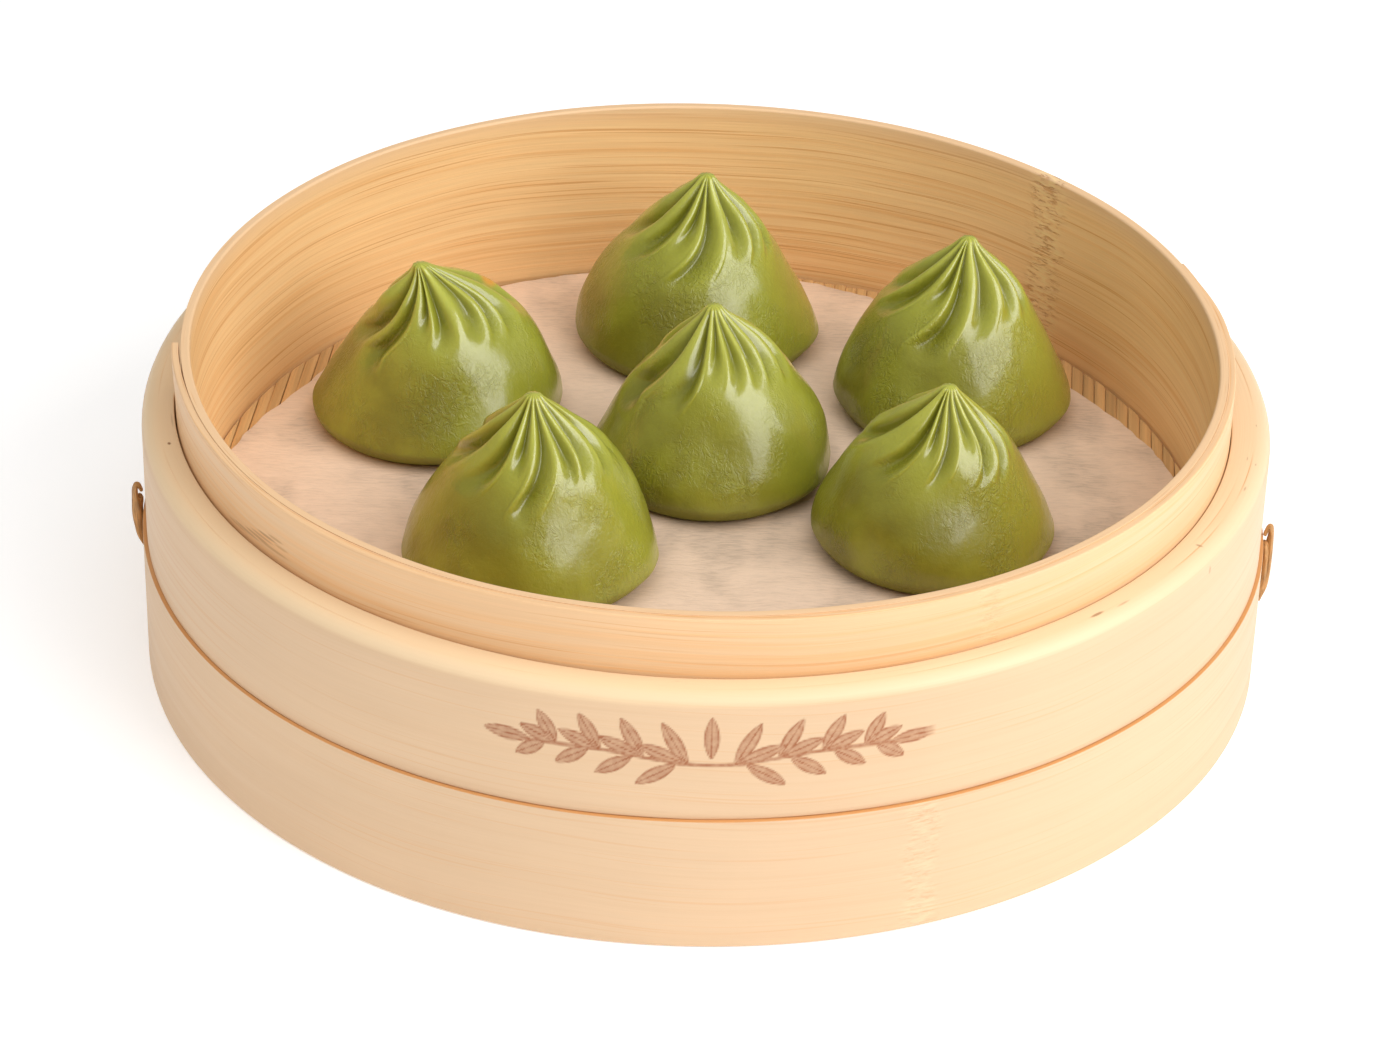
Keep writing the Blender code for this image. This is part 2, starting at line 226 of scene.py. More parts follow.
def srgb(red, green, blue):
    """The linear colour of a screen colour given from 0 to 255."""
    shares = [channel / 255 for channel in (red, green, blue)]
    return tuple(s / 12.92 if s <= 0.04045 else ((s + 0.055) / 1.055) ** 2.4 for s in shares)


ORANGE_SPOT_COLOUR = srgb(226, 150, 58)


def pigment(name, description, *screen_colour):
    """A colour that a user can change, given from 0 to 255."""
    return FloatVectorProperty(name=name, description=description, subtype="COLOR",
                               min=0.0, max=1.0, default=srgb(*screen_colour))


def amount(name, description, unit, most, default):
    """A size or a power that a user can change, from 0 up to most."""
    return FloatProperty(name=name, description=description, unit=unit,
                         min=0.0, max=most, default=default)


class BasketLook(bpy.types.PropertyGroup):
    outside: pigment("Outside", "Bamboo of the outer hoops, where it is palest", 224, 191, 154)
    outside_grain: pigment("Outside grain", "The darker streaks of the outer hoops", 216, 177, 136)
    # On the upper hoop this colour covers the rounded edge and the whole flat top: skin along the edge,
    # painted light on the top.
    skin: pigment("Skin", "Bamboo along the rounded edge, nearer the cane's skin", 240, 212, 172)
    rim: pigment("Rim", "Bamboo of the second ply", 236, 197, 153)
    inside: pigment("Inside", "Bamboo of the inner hoop", 255, 211, 153)
    inside_grain: pigment("Inside grain", "The darker streaks of the inner hoop", 240, 180, 114)
    seam: pigment("Seams", "Fine lines and ply joints", 214, 148, 82)
    knot: pigment("Knots", "Specks and scratches", 136, 84, 42)
    fleck: pigment("Joint marks", "The dashes across a culm's joint", 198, 128, 66)
    burn: pigment("Burnt mark", "The sprig burnt into the front", 150, 74, 24)
    floor: pigment("Floor", "The splints of the floor", 222, 176, 118)
    cane: pigment("Cane", "The ties at the sides", 206, 152, 92)
    columns: IntProperty(
        name="Columns", description="Steps round each hoop", min=90, max=720, default=360)


class LinerLook(bpy.types.PropertyGroup):
    paper: pigment("Paper", "The dry liner", 235, 206, 180)
    wet: pigment("Wet paper", "Where steam has soaked the liner", 188, 166, 146)
    ripple: amount("Ripple", "Height of the liner's soft ripples", "LENGTH", 0.001, 0.00018)


class DoughLook(bpy.types.PropertyGroup):
    green: pigment("Green", "The dough, where it is plain", 168, 171, 56)
    # Olive is laid mostly low on the left side of each dumpling: partly painted shade, partly the filling
    # showing through.
    olive: pigment("Olive", "Where the filling shows through", 112, 105, 16)
    # Painted shade: this deep green darkens the valleys of the folds and the foot of each dumpling.
    shade_green: pigment("Deep green", "The dough in the valleys of its folds", 108, 108, 12)
    # Paler at the tip; along the crests this colour is a painted highlight.
    paler_tip_and_crest_highlight: pigment("Tip green", "The dough at the tip and along the crests", 192, 195, 82)
    fold_depth: FloatProperty(
        name="Fold depth", description="Depth of a wide fold, as a share of the radius there",
        subtype="FACTOR", min=0.0, max=0.5, default=0.31)
    relief: amount("Relief", "Height of the belly's soft unevenness", "LENGTH", 0.002, 0.00045)
    pucker: amount("Pucker", "Height of the small dents in the skin", "LENGTH", 0.001, 0.00004)
    wrinkle: amount("Wrinkles", "Height of the fine creases in the skin", "LENGTH", 0.001, 0.00002)


class StageLook(bpy.types.PropertyGroup):
    lens: FloatProperty(
        name="Lens", description="Focal length on a sensor 36 mm wide",
        unit="CAMERA", min=20.0, max=300.0, default=111.16)
    distance: FloatProperty(
        name="Camera distance", description="From the camera to the point it looks at",
        unit="LENGTH", min=0.2, max=5.0, default=0.8312)
    elevation: FloatProperty(
        name="Camera elevation", description="Angle above the horizon",
        subtype="ANGLE", default=radians(31.37))
    roll: FloatProperty(
        name="Camera roll", description="How far the camera leans to one side",
        subtype="ANGLE", default=radians(1.549))
    key: amount("Key light", "Power of the large soft light at the right", "POWER", 200.0, 11.4)
    top: amount("Top light", "Power of the wide soft light overhead", "POWER", 200.0, 9.5)
    side: amount("Side light", "Power of the weak wide light at the left", "POWER", 200.0, 3.0)
    fill: FloatProperty(
        name="Fill", description="Strength of the light from all round",
        min=0.0, max=3.0, default=0.22)


def blend(value, low, high):
    """0 at low, 1 at high, with a soft start and end. Takes numbers or arrays."""
    share = np.clip((value - low) / (high - low), 0.0, 1.0)
    return share * share * (3 - 2 * share)


def out_of_round(waves, angles):
    """How far a hoop stands out from a true circle at these angles."""
    return sum(wave.height * np.cos(wave.count * (angles - wave.crest)) for wave in waves)


def wall_radius(angles):
    return INNER_FACE + out_of_round(INNER_WAVES, angles)


def lower_radius(angles):
    return LOWER_RADIUS + out_of_round(OUTER_WAVES, angles)


def apart(angles, middle):
    """The unsigned angle between each of these angles and the middle."""
    return np.abs((angles - middle + pi) % FULL_TURN - pi)


def wander(angles, seed, slowest, fastest):
    """A smooth random line round the basket, about -1 to 1, that meets itself after a turn."""
    draw = np.random.default_rng(seed)
    total = 0.0
    counts = range(slowest, fastest + 1)
    for count in counts:
        total = total + np.sin(count * angles + draw.uniform(0, FULL_TURN)) * draw.uniform(0.4, 1.0)
    return total / sqrt(len(counts))


def lumps(points, size, seed, waves=16):
    """Smooth random relief, mostly between -1 and 1, with features of about this size."""
    draw = np.random.default_rng(seed)
    directions = draw.normal(size=(waves, 3))
    directions /= np.linalg.norm(directions, axis=1)[:, None]
    rates = draw.uniform(0.6, 1.4, waves) * pi / size
    phases = draw.uniform(0, FULL_TURN, waves)
    return np.sin(points @ directions.T * rates + phases).sum(axis=-1) / sqrt(waves)


def grid_faces(rows, columns, rows_meet=False):
    """Quads between neighbouring rows of points. Each row closes on itself."""
    row = np.arange(rows if rows_meet else rows - 1)[:, None]
    column = np.arange(columns)[None, :]
    next_row = (row + 1) % rows
    next_column = (column + 1) % columns
    corners = (
        row * columns + column,
        row * columns + next_column,
        next_row * columns + next_column,
        next_row * columns + column,
    )
    return np.stack(corners, axis=-1).reshape(-1, 4).tolist()


def wound(points):
    """The faces of a ring of rows of points, the last of which meets the first."""
    return grid_faces(*points.shape[:2], rows_meet=True)


def capped(points):
    """The faces of a tube of rows of points, with both ends closed."""
    rows, columns = points.shape[:2]
    last = (rows - 1) * columns
    return grid_faces(rows, columns) + [list(range(columns)), list(range(last, last + columns))]


def merged(tubes):
    """The points and faces of several capped tubes as one mesh."""
    faces, start = [], 0
    for tube in tubes:
        faces += [[start + corner for corner in face] for face in capped(tube)]
        start += tube[..., 0].size
    return np.concatenate([tube.reshape(-1, 3) for tube in tubes]), faces


def show(name, data):
    """A new object in the scene with this data."""
    made = bpy.data.objects.new(name, data)
    bpy.context.scene.collection.objects.link(made)
    return made


def add_piece(name, points, faces, material, slot, replaces, sharp_over=50, marks=None):
    """A closed mesh that rides on the basket. marks holds values for each point, by name."""
    data = bpy.data.meshes.new(name)
    points = np.asarray(points, float).reshape(-1, 3)
    data.from_pydata(points.tolist(), [], faces)
    for mark, values in (marks or {}).items():
        values = np.asarray(values, np.float32)
        kind, key = ("FLOAT_VECTOR", "vector") if values.shape == points.shape else ("FLOAT", "value")
        data.attributes.new(mark, kind, "POINT").data.foreach_set(key, values.ravel())
    mesh = bmesh.new()
    mesh.from_mesh(data)
    bmesh.ops.recalc_face_normals(mesh, faces=mesh.faces)
    mesh.to_mesh(data)
    mesh.free()
    data.shade_smooth()
    data.set_sharp_from_angle(angle=radians(sharp_over))
    data.materials.append(material)
    piece = show(name, data)
    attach(piece, "root")
    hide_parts(*replaces)
    return piece


class Finish:
    """A node material in the making. Most of its methods add nodes and return an output."""

    def __init__(self, name):
        self.material = bpy.data.materials.new(name)
        self.material.use_nodes = True
        self.tree = self.material.node_tree
        self.shader = self.tree.nodes["Principled BSDF"]

    def node(self, kind, inputs, output=0, **settings):
        made = self.tree.nodes.new(kind)
        for key, value in settings.items():
            setattr(made, key, value)
        for socket, value in inputs.items():
            self.feed(made.inputs[socket], value)
        return made.outputs[output]

    def feed(self, socket, value):
        if isinstance(value, bpy.types.NodeSocket):
            self.tree.links.new(value, socket)
        elif socket.type == "RGBA" and len(value) == 3:
            socket.default_value = (*value, 1.0)
        else:
            socket.default_value = value

    def set(self, **values):
        for key, value in values.items():
            self.feed(self.shader.inputs[key.replace("_", " ")], value)

    def place(self):
        return self.node("ShaderNodeTexCoord", {}, output="Object")

    def swung(self, angle):
        """The place, turned by this angle about the basket's axis."""
        inputs = {"Vector": self.place(), "Angle": angle}
        return self.node("ShaderNodeVectorRotate", inputs, rotation_type="Z_AXIS")

    def mark(self, name, output="Fac"):
        return self.node("ShaderNodeAttribute", {}, output=output, attribute_name=name)

    def math(self, operation, first, second=0.0):
        return self.node("ShaderNodeMath", {0: first, 1: second}, operation=operation)

    def times(self, first, second):
        return self.math("MULTIPLY", first, second)

    def plus(self, first, second):
        return self.math("ADD", first, second)

    def scaled(self, vector, scale):
        return self.node("ShaderNodeVectorMath", {0: vector, 1: scale}, operation="MULTIPLY")

    def added(self, vector, other):
        return self.node("ShaderNodeVectorMath", {0: vector, 1: other}, operation="ADD")

    def joined(self, x, y, z):
        return self.node("ShaderNodeCombineXYZ", {0: x, 1: y, 2: z})

    def parted(self, vector):
        made = self.tree.nodes.new("ShaderNodeSeparateXYZ")
        self.feed(made.inputs[0], vector)
        return made.outputs

    def noise(self, vector, scale, detail=2.0, roughness=0.5, distortion=0.0):
        inputs = {"Vector": self.scaled(vector, scale), "Scale": 1.0, "Detail": detail,
                  "Roughness": roughness, "Distortion": distortion}
        return self.node("ShaderNodeTexNoise", inputs, output="Fac")

    def step(self, value, low, high, to_low=0.0, to_high=1.0):
        """Turns values between low and high softly into values between to_low and to_high."""
        inputs = {"Value": value, "From Min": low, "From Max": high, "To Min": to_low, "To Max": to_high}
        return self.node("ShaderNodeMapRange", inputs, interpolation_type="SMOOTHSTEP")

    def mix(self, share, first, second, mode="MIX"):
        made = self.tree.nodes.new("ShaderNodeMix")
        made.data_type = "RGBA"
        made.blend_type = mode
        self.feed(made.inputs[0], share)
        self.feed(made.inputs[6], first)
        self.feed(made.inputs[7], second)
        return made.outputs[2]

    def shade(self, colour, amount):
        """The colour with its brightness multiplied by amount."""
        return self.mix(1.0, colour, self.joined(amount, amount, amount), "MULTIPLY")

    def speck(self, speck):
        """The speck's darkness on a small long spot along the hoop's grain, 0 away from it."""
        away = self.added(self.swung(-radians(speck.angle)), (-speck.radius, 0.0, -speck.height))
        scale = (1 / speck.width, 1 / speck.length, 1 / speck.width)
        reach = self.node("ShaderNodeVectorMath", {0: self.scaled(away, scale)}, output="Value",
                          operation="LENGTH")
        return self.step(reach, 0.5, 1.2, speck.depth, 0.0)

    def bump(self, height, distance, **under):
        inputs = {"Height": height, "Distance": distance, "Strength": 1.0, **under}
        return self.node("ShaderNodeBump", inputs)


def hoop_grain(mat):
    """Coordinates in which a bent strip's grain runs round it, on its walls and on its edges."""
    place = mat.place()
    x, y, z = mat.parted(place)
    radius = mat.node("ShaderNodeVectorMath", {0: mat.joined(x, y, 0.0)}, output="Value",
                      operation="LENGTH")
    across = mat.math("SUBTRACT", z, radius)
    drift = mat.noise(place, (14, 14, 14), detail=1.0)
    across = mat.plus(across, mat.times(drift, 0.006))
    return mat.joined(x, y, across)


def bamboo(name, look, pale, dark, contrast, skin=None, burn=False, specks=()):
    """Split bamboo: long soft streaks, fine fibres, sparse lines, knots and speckled culm joints.

    contrast is how much the streaks and lines show, 1 for the full colours. skin is the colour
    where the skin mark is set.
    """
    mat = Finish(name)
    grain = hoop_grain(mat)
    streaks = mat.noise(grain, (8, 8, 380), roughness=0.6)
    strands = mat.noise(grain, (7, 7, 760), detail=3.0, roughness=0.7)
    fibres = mat.noise(grain, (40, 40, 2400), roughness=0.6)
    lines = mat.noise(grain, (13, 13, 1900), roughness=0.6)
    clouds = mat.noise(grain, (22, 22, 60))
    colour = mat.mix(mat.step(streaks, 0.32, 0.72, 0.0, 0.3 * contrast), pale, dark)
    colour = mat.mix(mat.step(strands, 0.46, 0.68, 0.0, 0.7 * contrast), colour, dark)
    colour = mat.shade(colour, mat.step(clouds, 0.3, 0.7, 0.98, 1.02))
    colour = mat.shade(colour, mat.step(fibres, 0.25, 0.75, 1 - 0.06 * contrast, 1 + 0.03 * contrast))
    colour = mat.mix(mat.step(lines, 0.59, 0.67, 0.0, 0.7 * contrast), colour, look.seam)
    if skin is not None:
        colour = mat.mix(mat.mark("skin"), colour, skin)
    joint = mat.mark("joint")
    flecks = mat.noise(grain, (330, 330, 1500), detail=3.0, roughness=0.65, distortion=0.3)
    paler = tuple(min(1.0, channel * 1.18) for channel in pale)
    colour = mat.mix(mat.times(joint, mat.step(flecks, 0.50, 0.38, 0.05, 0.50)), colour, paler)
    fleck = mat.times(mat.step(flecks, 0.52, 0.63), joint)
    colour = mat.mix(mat.times(fleck, 0.1 + 0.45 * contrast), colour, look.fleck)
    colour = mat.mix(mat.times(mat.mark("seam"), 0.85), colour, look.seam)
    for speck in specks:
        colour = mat.mix(mat.speck(speck), colour, look.knot)
    if burn:
        char = mat.noise(mat.place(), (900, 900, 900))
        burnt = mat.times(mat.mark("burn"), mat.step(char, 0.25, 0.7, 0.7, 1.0))
        colour = mat.mix(burnt, colour, look.burn)
    rough = mat.step(streaks, 0.3, 0.7, 0.42, 0.52)
    height = mat.plus(mat.times(fibres, 0.4), mat.times(strands, 0.8))
    height = mat.plus(height, mat.times(fleck, -1.6 * contrast))
    mat.set(Base_Color=colour, Roughness=rough, Specular_IOR_Level=0.4,
            Normal=mat.bump(height, 0.00006 * (1 + contrast)))
    return mat.material


def splint_bamboo(look):
    """Floor splints. Each has its own tint, and its grain runs along it."""
    mat = Finish("bamboo_splints")
    place = mat.swung(-FLOOR_HEADING)
    tint = mat.mark("tint")
    shifted = mat.added(place, mat.joined(tint, 0.0, 0.0))
    fibres = mat.noise(shifted, (2400, 30, 1200), roughness=0.6)
    streaks = mat.noise(shifted, (600, 12, 600))
    dark = tuple(channel * 0.74 for channel in look.floor)
    colour = mat.mix(mat.step(streaks, 0.35, 0.8), look.floor, dark)
    colour = mat.shade(colour, mat.step(fibres, 0.25, 0.75, 0.90, 1.06))
    colour = mat.shade(colour, mat.step(tint, 0.0, 1.0, 0.90, 1.06))
    mat.set(Base_Color=colour, Roughness=0.55, Normal=mat.bump(fibres, 0.00012))
    return mat.material


def liner_paper(look):
    """Baking paper that has taken up steam: fine wavy lines and grey wet patches."""
    mat = Finish("liner_paper")
    place = mat.place()
    drift = mat.noise(place, (60, 60, 60), detail=1.0)
    x, y, z = mat.parted(place)
    wavy = mat.joined(x, mat.plus(y, mat.times(drift, 0.004)), z)
    lines = mat.noise(wavy, (330, 1500, 0), detail=3.0, roughness=0.65, distortion=0.4)
    broad = mat.noise(wavy, (90, 330, 0))
    patches = mat.noise(place, (46, 34, 0), roughness=0.55)
    wet = mat.step(patches, 0.48, 0.64)
    colour = mat.mix(mat.times(wet, 0.42), look.paper, look.wet)
    depth = mat.step(wet, 0.0, 1.0, 0.93, 0.82)
    colour = mat.shade(colour, mat.step(lines, 0.3, 0.6, depth, 1.02))
    colour = mat.shade(colour, mat.step(broad, 0.3, 0.7, 0.97, 1.02))
    height = mat.plus(lines, mat.times(broad, 0.8))
    mat.set(Base_Color=colour, Roughness=0.62, Normal=mat.bump(height, 0.00015))
    return mat.material


def wet_dough(look):
    """Green dough under a wet skin: mottled, with a deeper green painted shade in its folds and round its
    foot, an olive painted shade over its lower left side where the filling also shows, paler towards the
    tip, and a painted highlight along its crests.
    """
    mat = Finish("green_dough")
    place = mat.place()
    fold_and_foot_shade, paler_tip_and_crest_highlight, low, foot = (mat.mark(name) for name in ("fold_and_foot_shade", "paler_tip_and_crest_highlight", "low", "foot"))
    mottle = mat.noise(place, (70, 70, 70), detail=3.0, roughness=0.55)
    # Olive, mostly low on the left side: partly painted shade, partly the filling showing through.
    filling = mat.times(mat.step(mottle, 0.32, 0.65, 0.55, 0.95), low)
    colour = mat.mix(filling, look.green, look.olive)
    # Paler towards the tip, and a painted highlight along the crests.
    colour = mat.mix(mat.times(paler_tip_and_crest_highlight, 0.8), colour, look.paler_tip_and_crest_highlight)
    # Painted shade: deep green in the valleys of the folds and round the foot.
    colour = mat.mix(mat.times(fold_and_foot_shade, 0.75), colour, look.shade_green)
    colour = mat.mix(mat.times(mat.mark("orange_spot"), 0.85), colour, ORANGE_SPOT_COLOUR)
    grit = mat.noise(place, (1500, 1500, 1500))
    colour = mat.shade(colour, mat.step(grit, 0.3, 0.7, 0.98, 1.02))
    veins = mat.noise(place, (640, 640, 420), detail=3.0, roughness=0.6, distortion=0.9)
    folds = mat.math("ABSOLUTE", mat.plus(veins, -0.5))
    calm = mat.noise(place, (95, 95, 95), detail=1.0)
    height = mat.times(mat.step(folds, 0.0, 0.14), mat.step(calm, 0.40, 0.66))
    height = mat.times(height, mat.mark("belly"))
    fine = mat.noise(place, (1100, 1100, 900), detail=3.0, roughness=0.65)
    normal = mat.bump(fine, 0.00012)
    normal = mat.bump(height, 0.00012, Normal=normal)
    rough = mat.plus(mat.step(fine, 0.3, 0.7, 0.30, 0.38), mat.times(foot, 0.5))
    dull = mat.math("MAXIMUM", mat.times(foot, 0.95), mat.times(low, 0.6))
    mat.set(Base_Color=colour, Roughness=rough, Normal=normal, Specular_IOR_Level=0.6,
            Subsurface_Weight=0.30, Subsurface_Radius=(1.0, 0.85, 0.3), Subsurface_Scale=0.002,
            Coat_Weight=mat.math("SUBTRACT", 1.0, dull), Coat_Roughness=0.18, Coat_IOR=1.6)
    return mat.material


def cane_skin(look):
    """Weathered cane with fibres that follow each strand."""
    mat = Finish("cane")
    flow = mat.mark("flow", "Vector")
    fibres = mat.noise(flow, (1.0, 1.0, 1.0), detail=3.0, roughness=0.6)
    patches = mat.noise(mat.place(), (320, 320, 320))
    dark = tuple(c * 0.45 for c in look.cane)
    colour = mat.mix(mat.step(fibres, 0.35, 0.8), look.cane, dark)
    colour = mat.shade(colour, mat.step(patches, 0.3, 0.7, 0.8, 1.1))
    mat.set(Base_Color=colour, Roughness=0.5, Normal=mat.bump(fibres, 0.0002))
    return mat.material


def band_section(inner, outer, low, high, rounds, wall_rows, grooves=()):
    """A band's section as rings of (radius, height, seam), up its outside and down its inside.

    rounds gives the radii of the outer top, inner top and lower corners, and wall_rows the rows
    of points on the outer and inner wall. Each groove in the top, from the outside in, is
    (radius, half width, depth, how much its colour shows).
    """
    outer_top, inner_top, lower = rounds
    turns = [(1 - sin(turn), 1 - cos(turn)) for turn in np.linspace(0, pi / 2, CORNER_STEPS)]
    rings = [(outer - lower * s, low + lower * c, 0.0) for s, c in turns]
    for share in np.linspace(0, 1, wall_rows[0] + 2)[1:-1]:
        rings.append((outer, low + lower + (high - outer_top - low - lower) * share, 0.0))
    rings += [(outer - outer_top * c, high - outer_top * s, 0.0) for s, c in turns]
    for radius, half_width, depth, shows in grooves:
        for across, share in ((2, 0.0), (1, 0.3), (0, 1.0), (-1, 0.3), (-2, 0.0)):
            rings.append((radius + across * half_width, high - share * depth, share * shows))
    rings += [(inner + inner_top * c, high - inner_top * s, 0.0) for s, c in turns[::-1]]
    for share in np.linspace(1, 0, wall_rows[1] + 2)[1:-1]:
        rings.append((inner, low + lower + (high - inner_top - low - lower) * share, 0.0))
    return rings + [(inner + lower * s, low + lower * c, 0.0) for s, c in turns[::-1]]


def bent(angles, rings):
    """Points, and seam marks, of a section of rings carried round the basket's axis."""
    flat = np.ones_like(angles)
    radius, height, seam = (
        np.stack([value * flat for value in values], axis=1) for values in zip(*rings)
    )
    turn = angles[:, None]
    points = np.stack([radius * np.cos(turn), radius * np.sin(turn), height], axis=-1)
    return points, seam


def joint_mark(points, *bands):
    """1 along culm joints, ragged upright bands of (angle in degrees, half width), 0 away from them."""
    angle = np.arctan2(points[..., 1], points[..., 0])
    radius = np.hypot(points[..., 0], points[..., 1])
    mark = np.zeros(angle.shape)
    for middle, half_width in bands:
        reach = apart(angle, radians(middle)) * radius + 0.0008 * lumps(points, 0.003, 7)
        mark = np.maximum(mark, 1 - blend(reach, 0.35 * half_width, half_width))
    return mark


def split_mark(points):
    """1 along the edges that meet at the split between the outer hoops, 0 away from it."""
    return 1 - blend(np.abs(points[..., 2] - SPLIT_LEVEL), 0.00003, 0.00014)


def bore_past_lap(angles):
    """The radius just outside both plies of the inner hoop."""
    return wall_radius(angles) + INNER_PLY + HAIRLINE + LAP_PLY + HAIRLINE


def upper_bore(angles):
    """The upper hoop's inner radius: wide where it holds the lap, close to the inner hoop elsewhere.

    A crack stands open beside the lap at the left.
    """
    past = (angles - LAP_START) % FULL_TURN
    beyond = np.where(past <= LAP_SWEEP, 0.0, np.minimum(past - LAP_SWEEP, FULL_TURN - past))
    crack = CRACK * (1 - blend(apart(angles, radians(200)), radians(8), radians(40)))
    return bore_past_lap(angles) - (LAP_PLY + HAIRLINE) * blend(beyond, 0.0, BORE_BLEND) + crack


def turned(x, y, z, angle):
    """Points with x and y turned by this angle about the basket's axis."""
    return np.stack([x * cos(angle) - y * sin(angle), x * sin(angle) + y * cos(angle), z], axis=-1)


def all_round(columns):
    return np.arange(columns) * FULL_TURN / columns


LEAF_PAIRS = ((0.004, 0.0), (0.0115, 0.0012), (0.019, 0.0020), (0.0265, 0.0022))  # along, up


def sprig_leaves():
    """The burnt sprig's leaves: base along and up the front, side, heading and length."""
    leaves = []
    for side in (-1, 1):
        for step, (along, lift) in enumerate(LEAF_PAIRS):
            length = 0.0095 - 0.0008 * step
            for spread in (24, 62):
                leaves.append((side * along, lift, side, radians(spread), length))
            leaves.append((side * (along + 0.002), lift, side, radians(-32), length * 0.85))
        leaves.append((side * 0.031, 0.0022, side, radians(6), 0.0085))
    leaves.append((0.0, 0.0012, 1, radians(90), 0.0085))
    return leaves


def burnt_sprig(points):
    """How deeply each point of the front is burnt: a level twig with leaves to both sides."""
    angle = np.arctan2(points[..., 1], points[..., 0])
    along = ((angle - FRONT + pi) % FULL_TURN - pi) * UPPER_RADIUS - 0.003
    up = points[..., 2] - (SPLIT_LEVEL + HOOP_TOP) / 2 + 0.0012
    outside = np.hypot(points[..., 0], points[..., 1]) > UPPER_RADIUS - 0.002
    twig_line = 0.0022 * blend(np.abs(along), 0.0, 0.022)
    twig = 1 - blend(np.abs(up - twig_line), 0.00022, 0.0005)
    burn = 0.8 * twig * (1 - blend(np.abs(along), 0.0305, 0.0325))
    for base, lift, side, heading, length in sprig_leaves():
        right, rise = (along - base) * side, up - lift
        run = (right * cos(heading) + rise * sin(heading)) / length
        off = np.abs(rise * cos(heading) - right * sin(heading))
        half = 0.0013 * np.sin(pi * np.clip(run, 0, 1)) ** 0.75
        inside = (1 - blend(off - half, -0.0001, 0.0002)) * (run > 0) * (run < 1)
        rim = blend(off / np.maximum(half, 1e-6), 0.55, 0.95)
        vein = 1 - blend(off, 0.00006, 0.0002)
        burn = np.maximum(burn, inside * (0.55 + 0.4 * np.maximum(rim, vein)))
    return burn * outside


class STEAMER_OT_inner_hoop(bpy.types.Operator):
    """Makes the strip that the basket is wound on, with its rim"""

    bl_idname = "steamer.inner_hoop"
    bl_label = "Inner Hoop"

    def execute(self, context):
        look = context.scene.steamer_basket
        angles = all_round(2 * look.columns)
        inner = wall_radius(angles) + 0.00006 * wander(angles, 11, 3, 9)
        outer = wall_radius(angles) + INNER_PLY
        top = RIM_TOP - 0.00012 + 0.00006 * wander(angles, 12, 2, 14)
        worn = blend(wander(angles, 13, 5, 60), -0.2, 1.2)
        grooves = ((outer - 0.0005, 0.0001, 0.00004 * worn, 0.5 * worn),)
        rings = band_section(inner, outer, STRIP_BASE, top, (0.00006, 0.0005, 0.0002), (4, 12), grooves)
        points, seam = bent(angles, rings)
        marks = {
            "joint": joint_mark(points, (45, 0.0058)),
            "seam": seam,
            "skin": blend(points[..., 2], RIM_TOP - 0.0010, RIM_TOP - 0.0004),
        }
        material = bamboo("bamboo_inside", look, look.inside, look.inside_grain, 0.85, skin=look.rim)
        add_piece("inner_hoop_strip", points, wound(points), material,
                  "bamboo_inside", ["inner_hoop"], marks=marks)
        return {"FINISHED"}


class STEAMER_OT_lap(bpy.types.Operator):
    """Makes the second ply of the inner strip, from its cut end at the left to its shaved end"""

    bl_idname = "steamer.lap"
    bl_label = "Lap"

    def execute(self, context):
        look = context.scene.steamer_basket
        past = np.linspace(0, LAP_SWEEP, look.columns + 1)
        angles = LAP_START + past
        shaved = blend(LAP_SWEEP - past, 0.0, LAP_SHAVED)
        inner = wall_radius(angles) + INNER_PLY + 0.3 * HAIRLINE
        outer = inner + LAP_PLY * (0.3 + 0.7 * shaved)
        top = LAP_TOP - 0.00006 + 0.00006 * wander(angles, 21, 2, 12)
        joined = blend(wander(angles, 22, 4, 50), -0.6, 1.0)
        grooves = ((inner + 0.0003, 0.00008, 0.00004 * joined, joined),)
        rings = band_section(inner, outer, STRIP_BASE, top, (0.0003, 0.00006, 0.0002), (10, 4), grooves)
        sprung = LAP_SPRUNG * (1 - blend(past, 0.0, radians(13)))
        rings = [(r + sprung * blend(z, HOOP_TOP, LAP_TOP), z, mark) for r, z, mark in rings]
        points, seam = bent(angles, rings)
        marks = {"joint": joint_mark(points, (-60, 0.0032)) * 0.4, "seam": seam}
        material = bamboo("bamboo_lap", look, look.rim, look.inside_grain, 0.55, specks=LAP_SPECKS)
        add_piece("inner_hoop_second_ply", points, capped(points), material,
                  "bamboo_outside", ["inner_hoop_lap"], marks=marks)
        return {"FINISHED"}


